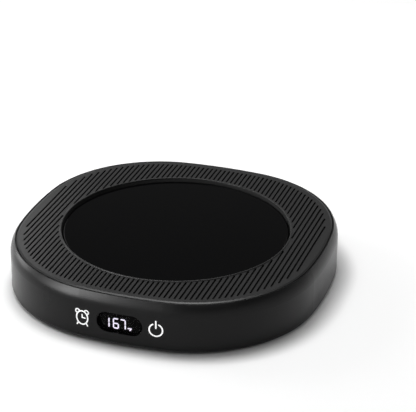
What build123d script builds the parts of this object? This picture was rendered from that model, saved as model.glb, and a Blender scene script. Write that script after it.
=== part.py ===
from build123d import *
import math
import os

# Electric mug warmer in millimetres. The origin is the middle of the footprint on the
# table, +Z is up and the control panel faces -Y.

# ---- Housing outline seen from above: four slow side arcs joined by four corner arcs
half_width = 65.0
side_radius = 165.0
corner_radius = 52.7

# ---- Housing heights
foot_stand = 1.0
base_band = 0.7
base_joint = 0.1
rim_height = 20.25
deck_rise = 0.25

# ---- Body shell
wall = 2.2
shoulder_radius = 8.5
rim_inset = 1.8
rim_width = 0.4
rim_round = 0.12
shell_foot_round = 0.5
ledge_thickness = 1.5
ledge_reach = 4.5

# ---- Top deck
deck_gap = 0.35
deck_thickness = 2.2
deck_bevel_width = 0.75
deck_bevel_drop = 0.3
deck_border = 17.7
lip_width = 0.7
lip_height = 0.25
lip_round = 0.2
groove_pitch = 2.0
groove_width = 0.8
groove_depth = 0.9
groove_margin = 0.35
groove_border = 5.45
skirt_wall = 1.5
skirt_depth = 8.7
post_radius = 3.2
post_gap = 2.0
post_length = 11.3

# ---- Base plate
base_floor = 2.0
band_inset = 0.35
band_round = 0.3
base_fit = 0.2
rib_wall = 1.5
rib_height = 2.0
boss_radius = 4.0
label_length = 44.0
label_width = 26.0
label_depth = 0.3
label_round = 2.0

# ---- Feet
foot_radius = 6.0
foot_sink = 0.5
foot_clearance = 0.1
foot_gap = 0.8
foot_round = 0.3

# ---- Housing screws
screw_radius = 1.45
screw_head_radius = 2.8
screw_head_height = 1.9
screw_seat = 3.0
screw_grip = 6.0
screw_end_room = 0.8
screw_clearance = 0.05
hole_clearance = 0.25
head_clearance = 0.3

# ---- Shape of every pan-head screw, as shares of its own head or shank
cross_length = 1.2
cross_width = 0.32
cross_depth = 0.55
head_round = 0.35
tip_taper = 0.4

# ---- Floating warming plate
plate_depth = 1.2
plate_gap = 0.7
glass_thickness = 2.5
glass_edge_round = 0.5
plate_travel = 0.8
spreader_thickness = 1.2
element_inset = 1.0
element_thickness = 0.8
insulation_thickness = 1.5
shield_thickness = 0.5
shield_inset = 0.6
carrier_inset = 0.5
carrier_width = 8.6
carrier_fit = 0.5
gasket_width = 4.0
gasket_thickness = 0.4
gasket_clearance = 0.1
centre_hole_radius = 7.0

# ---- Guides and springs under the plate
guide_edge = 4.6
guide_count = 3
guide_first_angle = 30.0
guide_pin_radius = 1.8
guide_clearance = 0.08
pillar_radius = 3.5
pillar_height = 8.0
guide_seat = 3.6
stop_clearance = 0.05
guide_head_radius = 3.0
guide_head_height = 1.8
guide_shank_radius = 1.0
guide_shank_length = 6.0
spring_wire = 0.35
spring_clearance = 0.35
spring_turns = 4.0
seat_clearance = 0.05

# ---- Shield screws
shield_screw_radius = 1.0
shield_screw_head = 2.2
shield_screw_head_height = 1.1
shield_screw_length = 3.0

# ---- Temperature sensor and thermal fuse
sensor_length = 5.0
sensor_width = 3.0
sensor_height = 2.1
sensor_offset = 4.3
sensor_round = 0.8
fuse_link_radius = 2.0
fuse_link_length = 10.0
fuse_link_edge = 15.0
link_lead_radius = 0.25
link_lead_run = 1.6
link_slot_clearance = 0.6
clip_width = 4.0
clip_thickness = 0.5
clip_foot = 3.0
clip_clearance = 0.05

# ---- Weight switch in the middle of the base
switch_length = 12.8
switch_width = 5.8
switch_height = 6.5
switch_round = 0.4
plunger_length = 2.8
plunger_width = 1.6
plunger_rise = 0.9
plunger_depth = 2.1
plunger_round = 0.3
plunger_room = 0.2
plunger_clearance = 0.08
cradle_wall = 1.2
cradle_height = 4.0
cradle_clearance = 0.1
actuator_radius = 2.6
actuator_peg_radius = 1.4
actuator_head_radius = 2.4
actuator_head_height = 0.8
actuator_gap = 0.05
terminal_length = 2.4
terminal_width = 1.6
terminal_thickness = 0.5
terminal_offset = 4.0
terminal_height = 1.5

# ---- Control panel in the front wall
panel_height = 9.25
window_length = 18.9
window_height = 8.7
window_thickness = 1.4
window_step = 0.8
window_clearance = 0.05
icon_offset = 15.1
icon_depth = 0.5
icon_stroke = 0.58
power_middle = (-0.3, -0.15)
power_ring_radius = 2.65
power_gap_angle = 54.0
power_stem_low = 0.8
power_stem_high = 4.1
clock_middle = (-0.5, -0.4)
clock_half_width = 2.4
clock_half_height = 2.9
bell_radius = 0.85
bell_offset = 1.9
bell_rise = 2.6
clock_hand_height = 1.35
clock_hand_length = 1.25
clock_foot_length = 0.85
clock_foot_across = 1.85
clock_foot_drop = 2.5
clock_foot_lean = 28.0
clock_foot_stroke = 0.54
clock_hand_stroke = 0.5
bell_stroke = 0.52

# ---- Display behind the window
digit_height = 4.55
digit_width = 2.45
digit_stroke = 0.45
segment_gap = 0.07
digit_pitch = 2.85
first_digit = -4.85
digit_drop = 1.0
digit_relief = 0.2
module_face_inset = 0.25
module_length = 19.5
module_height = 9.4
module_round = 0.5
module_face_gap = 0.2
unit_bar_start = (3.05, -1.3)
unit_bar_end = (4.35, -1.3)
unit_tip = (3.8, -2.05)
unit_stroke = 0.42

# ---- Control board
board_thickness = 1.6
control_board_length = 44.0
control_board_height = 12.6
control_board_thickness = 1.2
control_board_gap = 0.15
control_board_lift = 1.0
board_fit = 0.05
guide_post_width = 3.8
guide_post_cheek = 0.75
guide_post_height = 8.0
board_catch = 1.3
touch_spring_radius = 2.6
touch_spring_wire = 0.3
touch_spring_turns = 1.5
chip_size = 7.0
chip_height = 1.2
chip_round = 0.3

# ---- Power board and what stands on it. Each place is across the board, and then how far in it is
# from the board's rear edge, from its middle or from its front right corner.
power_board_length = 50.0
power_board_width = 36.0
power_board_setback = 12.8
board_lift = 2.0
board_boss_radius = 2.6
board_screw_inset = 4.0
board_screw_radius = 1.0
board_screw_head = 2.1
board_screw_head_height = 1.3
board_screw_length = 3.2
board_round = 1.5
terminal_block_length = 10.5
terminal_block_width = 8.0
terminal_block_height = 5.4
terminal_block_from_rear = (-11.0, 7.0)
terminal_screw_radius = 1.6
terminal_screw_depth = 1.4
terminal_mouth = 2.6
terminal_mouth_depth = 3.0
fuse_radius = 2.5
fuse_length = 20.0
fuse_cap_length = 4.5
fuse_cap_skin = 0.15
fuse_clip_wall = 0.5
fuse_from_rear = (6.0, 4.0)
x_capacitor_length = 17.0
x_capacitor_width = 10.0
x_capacitor_height = 5.0
x_capacitor_from_middle = (-13.0, -1.0)
component_round = 0.5
triac_width = 10.0
triac_body_length = 9.0
triac_body_height = 4.4
triac_tab_length = 6.0
triac_tab_height = 1.3
triac_hole_radius = 1.8
triac_from_middle = (12.0, -0.7)
can_radius = 2.5
can_length = 11.0
can_from_corner = (13.0, 3.0)
varistor_radius = 3.5
varistor_height = 3.2
varistor_from_rear = (0.0, 12.0)
header_length = 10.0
header_width = 4.0
header_height = 4.0
header_setback = 1.0

# ---- Leads inside the housing
ribbon_width = 8.0
ribbon_thickness = 0.6
ribbon_from_end = 12.0
ribbon_bend = 1.5
ribbon_floor_gap = 0.1
ribbon_rise = 4.0
lead_hole_clearance = 0.4
lead_bend = 0.9
heater_lead_radius = 0.7
heater_lead_offset = 20.0
heater_lead_pitch = 4.0
heater_lead_edge = 4.2
heater_lead_bow = 2.5
heater_lead_low = 2.0
heater_lead_high = 5.0
sensor_lead_radius = 0.45
sensor_lead_offset = 1.2
sensor_lead_rise = 4.4
sensor_lead_inset = 3.0
switch_lead_radius = 0.5
switch_lead_rise = 1.6
switch_lead_inset = 2.0

# ---- Cord gland in the rear wall
gland_bore_radius = 2.9
gland_axis_height = 6.5
gland_half_width = 5.4
gland_top = 11.2
gland_flange = 1.3
gland_outer_flange = 0.9
gland_inner_flange = 1.2
gland_clearance = 0.1

# ---- Heights above the table that follow from the values above
base_bottom = foot_stand
band_top = base_bottom + base_band
shell_bottom = band_top + base_joint
floor_top = base_bottom + base_floor
rim_top = base_bottom + rim_height
deck_top = rim_top + deck_rise
deck_bottom = deck_top - deck_thickness
ledge_bottom = deck_bottom - ledge_thickness
shoulder_start = rim_top - math.sqrt(shoulder_radius**2 - (shoulder_radius - rim_inset) ** 2)
skirt_bottom = deck_top - skirt_depth
post_bottom = deck_bottom - post_length
glass_top = deck_top - plate_depth
glass_bottom = glass_top - glass_thickness
spreader_bottom = glass_bottom - spreader_thickness
element_bottom = spreader_bottom - element_thickness
insulation_bottom = element_bottom - insulation_thickness
shield_bottom = insulation_bottom - shield_thickness
panel_z = base_bottom + panel_height
screw_seat_z = base_bottom + screw_seat
guide_shoulder = base_bottom + guide_seat
guide_pin_end = guide_shoulder - stop_clearance
link_axis = spreader_bottom - fuse_link_radius
clip_middle = link_axis - fuse_link_radius - clip_clearance - clip_thickness / 2
switch_top = floor_top + switch_height
plunger_top = switch_top + plunger_rise
board_bottom = floor_top + board_lift
board_top = board_bottom + board_thickness
fuse_axis = board_top + fuse_clip_wall + fuse_radius
header_mouth = board_top + header_height / 2
ribbon_low = floor_top + ribbon_floor_gap + ribbon_thickness / 2
ribbon_high = floor_top + ribbon_rise

# ---- Places seen from above that follow from the values above
side_offset = side_radius - half_width
corner_centre = (math.sqrt(2 * (side_radius - corner_radius) ** 2 - side_offset**2) - side_offset) / 2
side_half_angle = math.degrees(math.atan2(corner_centre, corner_centre + side_offset))
corner_reach = math.sqrt(2) * corner_centre + corner_radius
pocket_inset = rim_inset + rim_width
deck_inset = pocket_inset + deck_gap
ledge_inset = deck_inset + ledge_reach
post_circle = corner_reach - ledge_inset - post_gap - post_radius
foot_circle = post_circle - screw_head_radius - head_clearance - foot_gap - foot_radius - foot_clearance
well_radius = half_width - deck_border
lip_outer = well_radius + lip_width
groove_inner = lip_outer + groove_margin
glass_radius = well_radius - plate_gap
carrier_outer = glass_radius - carrier_inset
carrier_inner = carrier_outer - carrier_width
spreader_radius = carrier_inner - carrier_fit
element_radius = spreader_radius - element_inset
fuse_link_offset = spreader_radius - fuse_link_edge
guide_circle = carrier_outer - guide_edge
shield_radius = glass_radius - shield_inset
inner_wall_y = half_width - wall
control_board_bottom = floor_top + control_board_lift
catch_start = control_board_length / 2 - board_catch
power_board_rear = inner_wall_y - power_board_setback
power_board_front = power_board_rear - power_board_width
power_board_middle = (power_board_front + power_board_rear) / 2
header_y = power_board_front + header_setback
terminal_block_place = (terminal_block_from_rear[0], power_board_rear - terminal_block_from_rear[1])
fuse_place = (fuse_from_rear[0], power_board_rear - fuse_from_rear[1])
varistor_place = (varistor_from_rear[0], power_board_rear - varistor_from_rear[1])
x_capacitor_place = (x_capacitor_from_middle[0], power_board_middle + x_capacitor_from_middle[1])
triac_place = (triac_from_middle[0], power_board_middle + triac_from_middle[1])
can_place = (power_board_length / 2 - can_from_corner[0], power_board_front + can_from_corner[1])
ribbon_offset = ribbon_from_end - power_board_length / 2
heater_lead_row = math.sqrt((spreader_radius - heater_lead_edge) ** 2 - heater_lead_offset**2)
sensor_lead_row = power_board_front + sensor_lead_inset
switch_lead_row = power_board_front + switch_lead_inset
terminal_end = switch_width / 2 + terminal_length
switch_lead_drop = (terminal_end + power_board_front) / 2
link_slot_length = fuse_link_length + 2 * link_slot_clearance
link_slot_width = 2 * (fuse_link_radius + link_slot_clearance)
clip_reach = fuse_link_radius + clip_clearance + clip_thickness / 2
gasket_middle = (carrier_inner + carrier_outer) / 2
spring_mean_radius = pillar_radius + spring_clearance + spring_wire

quarter_turns = [(45 + 90 * step) for step in range(4)]
guide_turns = [guide_first_angle + step * 360 / guide_count for step in range(guide_count)]
shield_screw_turns = [turn + 180 / guide_count for turn in guide_turns]

BELOW = (Align.CENTER, Align.CENTER, Align.MAX)
ABOVE = (Align.CENTER, Align.CENTER, Align.MIN)
BEHIND = (Align.CENTER, Align.MIN, Align.CENTER)


def on_circle(radius, turns, height):
    """The points at one height on a circle about the middle, one for each turn in degrees."""
    places = []
    for turn in turns:
        angle = math.radians(turn)
        places.append((radius * math.cos(angle), radius * math.sin(angle), height))
    return places


def draw_outline(inset, mode=Mode.ADD):
    """Draws the housing's outline, moved in by inset, into the sketch that is being made."""
    with BuildLine(mode=Mode.PRIVATE) as outline:
        for turn in (0, 90, 180, 270):
            side_middle = Vector(0, -side_offset).rotate(Axis.Z, turn)
            corner_middle = Vector(corner_centre, corner_centre).rotate(Axis.Z, turn)
            CenterArc(
                side_middle, side_radius - inset, 90 - side_half_angle + turn, 2 * side_half_angle
            )
            CenterArc(
                corner_middle, corner_radius - inset, side_half_angle + turn, 90 - 2 * side_half_angle
            )
    make_face(outline.edges(), mode=mode)


def outline_reach(across, inset):
    """How far the outline, moved in by inset, reaches from the middle line at a place across it."""
    side = side_radius - inset
    corner = corner_radius - inset
    across = abs(across)
    if across < side * math.sin(math.radians(side_half_angle)):
        return math.sqrt(side**2 - across**2) - side_offset
    if across < corner_centre + corner * math.cos(math.radians(side_half_angle)):
        return corner_centre + math.sqrt(corner**2 - (across - corner_centre) ** 2)
    return math.sqrt(max(side**2 - (across + side_offset) ** 2, 0))


def cross_screw(head_radius, head_height, shank_radius, shank_length):
    """A pan-head screw pointing up, with the seat of its head at the origin."""
    slot_length = cross_length * head_radius
    slot_width = cross_width * head_radius
    with BuildPart() as screw:
        Cylinder(head_radius, head_height, align=BELOW)
        fillet(screw.faces().sort_by(Axis.Z)[0].edges(), radius=head_round * head_height)
        Cylinder(shank_radius, shank_length, align=ABOVE)
        chamfer(screw.faces().sort_by(Axis.Z)[-1].edges(), length=tip_taper * shank_radius)
        with BuildSketch(Plane.XY.offset(-head_height)):
            Rectangle(slot_length, slot_width)
            Rectangle(slot_width, slot_length)
        extrude(amount=cross_depth * head_height, mode=Mode.SUBTRACT)
    return screw.part


def coil(radius, wire_radius, height, turns):
    """A coil spring standing on the origin, from one end of its wire's surface to the other."""
    rise = height - 2 * wire_radius
    path = Pos(0, 0, wire_radius) * Helix(pitch=rise / turns, height=rise, radius=radius)
    with BuildPart() as spring:
        with BuildSketch(Plane(origin=path @ 0, z_dir=path % 0)):
            Circle(wire_radius)
        sweep(path=path)
    return spring.part


def wire(points, wire_radius):
    """A round wire along straight runs joined by bends."""
    path = FilletPolyline(*points, radius=lead_bend)
    with BuildPart() as lead:
        with BuildSketch(Plane(origin=path @ 0, z_dir=path % 0)):
            Circle(wire_radius)
        sweep(path=path)
    return lead.part


def pair(offset, along, height):
    """Two points at one place along the object, as far to its left as to its right."""
    return [(-offset, along, height), (offset, along, height)]


def board_screw_places(height):
    """The points of the power board's four screws at one height."""
    across = power_board_length / 2 - board_screw_inset
    along = power_board_width / 2 - board_screw_inset
    return pair(across, power_board_middle - along, height) + pair(across, power_board_middle + along, height)


# ---------------------------------------------------------------- icons and digits
def draw_bar(start, end, width):
    """Draws a round-ended bar between two points into the sketch that is being made."""
    run = Vector(end) - Vector(start)
    turn = math.degrees(math.atan2(run.Y, run.X))
    with Locations((Vector(start) + Vector(end)) / 2):
        SlotOverall(run.length + width, width, rotation=turn)


def draw_power_icon():
    """Draws a ring open at the top with an upright stem into the sketch that is being made."""
    stroke = icon_stroke / 2
    half_gap = power_gap_angle / 2
    Circle(power_ring_radius + stroke)
    Circle(power_ring_radius - stroke, mode=Mode.SUBTRACT)
    reach = power_ring_radius + icon_stroke
    lean = reach * math.tan(math.radians(half_gap))
    Polygon((0, 0), (lean, reach), (-lean, reach), align=None, mode=Mode.SUBTRACT)
    end_across = power_ring_radius * math.sin(math.radians(half_gap))
    end_rise = power_ring_radius * math.cos(math.radians(half_gap))
    with Locations((end_across, end_rise), (-end_across, end_rise)):
        Circle(stroke)
    draw_bar((0, power_stem_low), (0, power_stem_high - stroke), icon_stroke)


def draw_clock_icon():
    """Draws an alarm clock with two bells, two feet and two hands into the sketch that is being made."""
    stroke = icon_stroke / 2
    with Locations((bell_offset, bell_rise), (-bell_offset, bell_rise)):
        Circle(bell_radius + bell_stroke / 2)
        Circle(bell_radius - bell_stroke / 2, mode=Mode.SUBTRACT)
    Ellipse(clock_half_width + stroke, clock_half_height + stroke)
    Ellipse(clock_half_width - stroke, clock_half_height - stroke, mode=Mode.SUBTRACT)
    for side in (-1, 1):
        top = Vector(side * clock_foot_across, -clock_foot_drop)
        run = Vector(0, -clock_foot_length).rotate(Axis.Z, side * clock_foot_lean)
        draw_bar(top, top + run, clock_foot_stroke)
    draw_bar((0, 0), (0, clock_hand_height), clock_hand_stroke)
    draw_bar((0, 0), (clock_hand_length, 0), clock_hand_stroke)


def draw_segments(segments, middle_x, width):
    """Draws the named segments, a to g, of one digit about middle_x into the sketch that is being made."""
    across = width - digit_stroke
    down = (digit_height - digit_stroke) / 2
    bars = {
        "a": ((0, down), across, 0),
        "b": ((across / 2, down / 2), down, 90),
        "c": ((across / 2, -down / 2), down, 90),
        "d": ((0, -down), across, 0),
        "e": ((-across / 2, -down / 2), down, 90),
        "f": ((-across / 2, down / 2), down, 90),
        "g": ((0, 0), across, 0),
    }
    for name in segments:
        place, length, turn = bars[name]
        half = length / 2 - segment_gap
        stroke = digit_stroke / 2
        taper = half - stroke
        with Locations((middle_x + place[0], place[1])):
            Polygon(
                (-half, 0), (-taper, stroke), (taper, stroke), (half, 0), (taper, -stroke), (-taper, -stroke),
                rotation=turn,
                align=None,
            )


def draw_unit_mark():
    """Draws the small two-stroke mark after the digits into the sketch that is being made."""
    draw_bar(unit_bar_start, unit_bar_end, unit_stroke)
    draw_bar(unit_bar_end, unit_tip, unit_stroke)


# ---------------------------------------------------------------- planes of the front panel and the rear
def front_plane(across, reach):
    """A plane that faces the front at the panel's height, at a place across and a reach from the middle."""
    return Plane(origin=(across, -reach, panel_z), x_dir=(1, 0, 0), z_dir=(0, -1, 0))


def rear_plane(reach):
    """A plane that faces the rear at table height, at a reach from the middle."""
    return Plane(origin=(0, reach, 0), x_dir=(-1, 0, 0), z_dir=(0, 1, 0))


guide_post_reach = outline_reach(catch_start + guide_post_width, wall)
control_board_face = guide_post_reach - control_board_gap - guide_post_cheek - board_fit
control_board_rear = control_board_face - control_board_thickness
control_board_middle = (control_board_face + control_board_rear) / 2
gland_reach = gland_half_width + gland_flange
gland_face = outline_reach(gland_reach, 0)
gland_inner_face = outline_reach(gland_reach, wall) - seat_clearance
module_face = outline_reach(window_length / 2, window_thickness) - module_face_gap
module_shoulder = outline_reach(module_length / 2, wall) - seat_clearance
touch_spring_foot = control_board_face + seat_clearance
touch_spring_side = icon_offset + touch_spring_radius + touch_spring_wire
touch_spring_reach = outline_reach(touch_spring_side, wall) - seat_clearance

heater_lead_places = [
    (heater_lead_offset, heater_lead_row - heater_lead_pitch / 2, board_top),
    (heater_lead_offset, heater_lead_row + heater_lead_pitch / 2, board_top),
]


# ---------------------------------------------------------------- layers of the front wall
def wall_layer(depth):
    """The front half of the wall's outer skin, as thick as depth."""
    with BuildPart() as layer:
        with BuildSketch(Plane.XY.offset(shell_bottom + shell_foot_round)):
            draw_outline(0)
            draw_outline(depth, mode=Mode.SUBTRACT)
        extrude(amount=shoulder_start - shell_bottom - shell_foot_round)
        split(bisect_by=Plane.XZ, keep=Keep.TOP)
    return layer.part


window_layer = wall_layer(window_thickness)
icon_layer = wall_layer(icon_depth)

# ---------------------------------------------------------------- touch icons, flush with the wall
with BuildPart() as timer_icon:
    with BuildSketch(front_plane(-icon_offset, half_width)):
        with Locations(clock_middle):
            draw_clock_icon()
    extrude(amount=-wall)
    add(icon_layer, mode=Mode.INTERSECT)

with BuildPart() as power_icon:
    with BuildSketch(front_plane(icon_offset, half_width)):
        with Locations(power_middle):
            draw_power_icon()
    extrude(amount=-wall)
    add(icon_layer, mode=Mode.INTERSECT)

# ---------------------------------------------------------------- display window
with BuildPart() as window_pocket:
    with BuildSketch(front_plane(0, half_width)):
        SlotOverall(window_length, window_height)
    extrude(amount=-wall)
    add(window_layer, mode=Mode.INTERSECT)

with BuildPart() as display_window:
    with BuildSketch(front_plane(0, half_width)):
        SlotOverall(window_length - 2 * window_clearance, window_height - 2 * window_clearance)
    extrude(amount=-wall)
    add(window_layer, mode=Mode.INTERSECT)

# ---------------------------------------------------------------- body shell
with BuildPart() as body_shell:
    with BuildSketch(Plane.XY.offset(shell_bottom)):
        draw_outline(0)
    extrude(amount=shoulder_start + shoulder_radius - shell_bottom)
    fillet(body_shell.faces().sort_by(Axis.Z)[-1].edges(), radius=shoulder_radius)
    fillet(body_shell.faces().sort_by(Axis.Z)[0].edges(), radius=shell_foot_round)
    split(bisect_by=Plane.XY.offset(rim_top), keep=Keep.BOTTOM)
    # pocket for the deck, the opening inside its ledge, and the hollow below the ledge
    with BuildSketch(Plane.XY.offset(deck_bottom)):
        draw_outline(pocket_inset)
    extrude(amount=deck_thickness, mode=Mode.SUBTRACT)
    fillet(body_shell.faces().sort_by(Axis.Z)[-1].edges(), radius=rim_round)
    with BuildSketch(Plane.XY.offset(shell_bottom)):
        draw_outline(ledge_inset)
    extrude(amount=rim_height, mode=Mode.SUBTRACT)
    with BuildSketch(Plane.XY.offset(shell_bottom)):
        draw_outline(wall)
    extrude(amount=ledge_bottom - shell_bottom, mode=Mode.SUBTRACT)
    # pocket for the window, with a smaller hole through the wall behind it
    with BuildSketch(front_plane(0, half_width)):
        SlotOverall(window_length - 2 * window_step, window_height - 2 * window_step)
    extrude(amount=-2 * wall, mode=Mode.SUBTRACT)
    add(window_pocket.part, mode=Mode.SUBTRACT)
    add(timer_icon.part, mode=Mode.SUBTRACT)
    add(power_icon.part, mode=Mode.SUBTRACT)
    # notch for the cord gland, open at the bottom, with a shallow seat for its outer flange
    with BuildSketch(rear_plane(gland_face - gland_outer_flange - gland_clearance)):
        with Locations((0, shell_bottom)):
            Rectangle(
                2 * (gland_reach + gland_clearance),
                2 * (gland_top + gland_flange + gland_clearance - shell_bottom),
            )
    extrude(amount=2 * wall, mode=Mode.SUBTRACT)
    with BuildSketch(rear_plane(inner_wall_y - wall)):
        with Locations((0, shell_bottom)):
            Rectangle(
                2 * (gland_half_width + gland_clearance), 2 * (gland_top + gland_clearance - shell_bottom)
            )
    extrude(amount=3 * wall, mode=Mode.SUBTRACT)

# ---------------------------------------------------------------- top deck
with BuildPart() as top_deck:
    with BuildSketch(Plane.XY.offset(deck_bottom)):
        draw_outline(deck_inset)
    extrude(amount=deck_thickness)
    deck_face = top_deck.faces().sort_by(Axis.Z)[-1]
    chamfer(deck_face.edges(), length=deck_bevel_width, length2=deck_bevel_drop, reference=deck_face)
    with BuildSketch(Plane.XY.offset(deck_top)):
        Circle(lip_outer)
        Circle(well_radius, mode=Mode.SUBTRACT)
    extrude(amount=lip_height)
    fillet(top_deck.faces().sort_by(Axis.Z)[-1].edges(), radius=lip_round)
    with BuildSketch(Plane.XY.offset(skirt_bottom)):
        Circle(well_radius + skirt_wall)
    extrude(amount=skirt_depth - deck_thickness)
    with BuildSketch(Plane.XY.offset(skirt_bottom)):
        Circle(well_radius)
    extrude(amount=skirt_depth, mode=Mode.SUBTRACT)
    # screw posts
    with Locations(*on_circle(post_circle, quarter_turns, deck_bottom)):
        Cylinder(post_radius, post_length, align=BELOW)
    with Locations(*on_circle(post_circle, quarter_turns, post_bottom)):
        Cylinder(screw_radius + screw_clearance, screw_grip + screw_end_room, align=ABOVE, mode=Mode.SUBTRACT)
    # straight grooves from front to back, each as long as the flat lets it be
    with BuildSketch(Plane.XY.offset(deck_top)):
        groove_count = int((half_width - groove_border) / groove_pitch)
        for step in range(-groove_count, groove_count + 1):
            across = step * groove_pitch
            far = outline_reach(across, groove_border)
            near = -far
            if abs(across) < groove_inner:
                near = math.sqrt(groove_inner**2 - across**2)
            if far - near < 2 * groove_width:
                continue
            with Locations((across, (far + near) / 2)):
                SlotOverall(far - near, groove_width, rotation=90)
            if near > 0:
                with Locations((across, -(far + near) / 2)):
                    SlotOverall(far - near, groove_width, rotation=90)
    extrude(amount=-groove_depth, mode=Mode.SUBTRACT)

# ---------------------------------------------------------------- base plate
with BuildPart() as base_plate:
    with BuildSketch(Plane.XY.offset(base_bottom)):
        draw_outline(band_inset)
    extrude(amount=base_band)
    fillet(base_plate.faces().sort_by(Axis.Z)[0].edges(), radius=band_round)
    with BuildSketch(Plane.XY.offset(base_bottom)):
        draw_outline(wall + base_fit)
    extrude(amount=base_floor + rib_height)
    with BuildSketch(Plane.XY.offset(floor_top)):
        draw_outline(wall + base_fit + rib_wall)
        with Locations((0, inner_wall_y)):
            Rectangle(2 * (gland_reach + base_fit), 4 * rib_wall)
    extrude(amount=rib_height, mode=Mode.SUBTRACT)
    # bosses for the housing screws, guide pillars and board standoffs
    with Locations(*on_circle(post_circle, quarter_turns, floor_top)):
        Cylinder(boss_radius, post_bottom - floor_top, align=ABOVE)
    with Locations(*on_circle(guide_circle, guide_turns, floor_top)):
        Cylinder(pillar_radius, pillar_height, align=ABOVE)
    with Locations(*board_screw_places(floor_top)):
        Cylinder(board_boss_radius, board_lift, align=ABOVE)
    # cradle at both ends of the weight switch
    with BuildSketch(Plane.XY.offset(floor_top)):
        with GridLocations(switch_length + 2 * cradle_clearance + cradle_wall, 0, 2, 1):
            Rectangle(cradle_wall, switch_width)
    extrude(amount=cradle_height)
    # slotted posts for the control board
    with BuildSketch(Plane.XY.offset(floor_top)):
        for side in (-1, 1):
            with Locations((side * (catch_start + guide_post_width / 2), -control_board_middle)):
                Rectangle(guide_post_width, control_board_thickness + 2 * (board_fit + guide_post_cheek))
    extrude(amount=guide_post_height)
    with BuildSketch(Plane.XY.offset(control_board_bottom)):
        with Locations((0, -control_board_middle)):
            Rectangle(control_board_length + 2 * board_fit, control_board_thickness + 2 * board_fit)
    extrude(amount=guide_post_height, mode=Mode.SUBTRACT)
    # screw holes with their counterbores
    with Locations(*on_circle(post_circle, quarter_turns, base_bottom)):
        Cylinder(screw_radius + hole_clearance, post_bottom, align=ABOVE, mode=Mode.SUBTRACT)
        Cylinder(screw_head_radius + head_clearance, screw_seat, align=ABOVE, mode=Mode.SUBTRACT)
    with Locations(*on_circle(guide_circle, guide_turns, base_bottom)):
        Cylinder(guide_pin_radius + guide_clearance, rim_height, align=ABOVE, mode=Mode.SUBTRACT)
        Cylinder(guide_head_radius + head_clearance, guide_seat, align=ABOVE, mode=Mode.SUBTRACT)
    with Locations(*board_screw_places(board_bottom)):
        Cylinder(
            board_screw_radius + screw_clearance,
            board_screw_length - board_thickness + screw_end_room,
            align=BELOW,
            mode=Mode.SUBTRACT,
        )
    # seats for the feet and the plain field for a rating label
    with Locations(*on_circle(foot_circle, quarter_turns, base_bottom)):
        Cylinder(foot_radius + foot_clearance, foot_sink, align=ABOVE, mode=Mode.SUBTRACT)
    with BuildSketch(Plane.XY.offset(base_bottom)):
        RectangleRounded(label_length, label_width, label_round)
    extrude(amount=label_depth, mode=Mode.SUBTRACT)

# ---------------------------------------------------------------- feet and housing screws
with BuildPart() as feet:
    with Locations(*on_circle(foot_circle, quarter_turns, 0)):
        Cylinder(foot_radius, foot_stand + foot_sink, align=ABOVE)
    fillet(feet.faces().group_by(Axis.Z)[0].edges(), radius=foot_round)

housing_screw = cross_screw(
    screw_head_radius, screw_head_height, screw_radius, post_bottom - screw_seat_z + screw_grip
)
with BuildPart() as housing_screws:
    with Locations(*on_circle(post_circle, quarter_turns, screw_seat_z)):
        add(housing_screw)

# ---------------------------------------------------------------- cord gland
gland_foot = floor_top + gland_clearance
gland_flange_foot = shell_bottom + gland_clearance
gland_flange_top = gland_top + gland_flange
with BuildPart() as cord_gland:
    with BuildSketch(rear_plane(gland_face - gland_outer_flange)):
        with Locations((0, gland_flange_foot)):
            Rectangle(2 * gland_reach, gland_flange_top - gland_flange_foot, align=(Align.CENTER, Align.MIN))
    extrude(amount=gland_outer_flange)
    with BuildSketch(rear_plane(gland_inner_face)):
        with Locations((0, gland_foot)):
            Rectangle(2 * gland_half_width, gland_top - gland_foot, align=(Align.CENTER, Align.MIN))
    extrude(amount=gland_face - gland_outer_flange - gland_inner_face)
    with BuildSketch(rear_plane(gland_inner_face)):
        with Locations((0, gland_foot)):
            Rectangle(2 * gland_reach, gland_flange_top - gland_foot, align=(Align.CENTER, Align.MIN))
    extrude(amount=-gland_inner_flange)
    with BuildSketch(rear_plane(gland_inner_face - gland_inner_flange)):
        with Locations((0, gland_axis_height)):
            Circle(gland_bore_radius)
    extrude(amount=2 * wall, mode=Mode.SUBTRACT)

# ---------------------------------------------------------------- warming plate and its carrier
with BuildPart() as warming_plate:
    with Locations((0, 0, glass_bottom)):
        Cylinder(glass_radius, glass_thickness, align=ABOVE)
    fillet(warming_plate.faces().sort_by(Axis.Z)[-1].edges(), radius=glass_edge_round)

with BuildPart() as plate_gasket:
    with BuildSketch(Plane.XY.offset(glass_bottom - gasket_thickness)):
        Circle(gasket_middle + gasket_width / 2)
        Circle(gasket_middle - gasket_width / 2, mode=Mode.SUBTRACT)
    extrude(amount=gasket_thickness)

with BuildPart() as plate_carrier:
    with BuildSketch(Plane.XY.offset(insulation_bottom)):
        Circle(carrier_outer)
        Circle(carrier_inner, mode=Mode.SUBTRACT)
    extrude(amount=glass_bottom - insulation_bottom)
    with BuildSketch(Plane.XY.offset(glass_bottom)):
        Circle(gasket_middle + gasket_width / 2 + gasket_clearance)
        Circle(gasket_middle - gasket_width / 2 - gasket_clearance, mode=Mode.SUBTRACT)
    extrude(amount=-gasket_thickness, mode=Mode.SUBTRACT)
    with Locations(*on_circle(guide_circle, guide_turns, insulation_bottom)):
        Cylinder(guide_pin_radius, insulation_bottom - guide_pin_end, align=BELOW)
    with Locations(*on_circle(guide_circle, guide_turns, guide_pin_end)):
        Cylinder(
            guide_shank_radius + screw_clearance,
            guide_shank_length + screw_end_room,
            align=ABOVE,
            mode=Mode.SUBTRACT,
        )
    with Locations(*on_circle(guide_circle, shield_screw_turns, insulation_bottom)):
        Cylinder(
            shield_screw_radius + screw_clearance,
            shield_screw_length - shield_thickness + screw_end_room / 2,
            align=ABOVE,
            mode=Mode.SUBTRACT,
        )

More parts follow.
